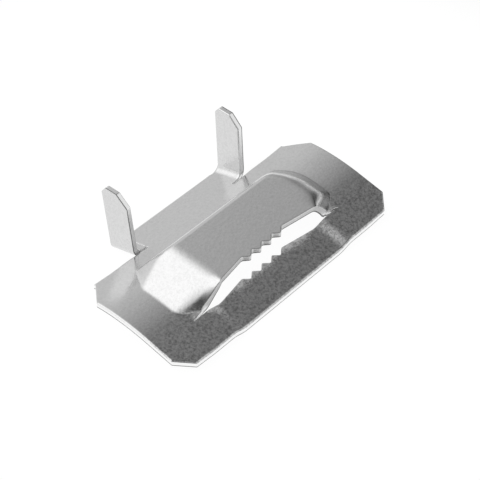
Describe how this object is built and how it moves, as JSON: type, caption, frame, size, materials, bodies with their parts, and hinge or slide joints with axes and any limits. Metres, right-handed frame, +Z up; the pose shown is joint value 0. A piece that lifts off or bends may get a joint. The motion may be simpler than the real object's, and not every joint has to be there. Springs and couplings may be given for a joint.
{
  "type": "strapping buckle",
  "caption": "Arched sheet-metal strapping buckle with a raised toothed bridge, a front bar and folding ears that lock the band.",
  "frame": {"origin": "middle of the bounding box at the level of the lowest edges, which are the underside of the front bar and of the rear strip", "axes": "+X across the band along the bar, +Y along the band from the front bar to the ears, +Z up out of the bridge"},
  "size_m": [0.0418, 0.0232, 0.0111],
  "materials": {
    "stainless_steel": "tumbled 2B stainless sheet"
  },
  "bodies": {
    "root": {"buckle": "stainless_steel"}
  },
  "joints": []
}
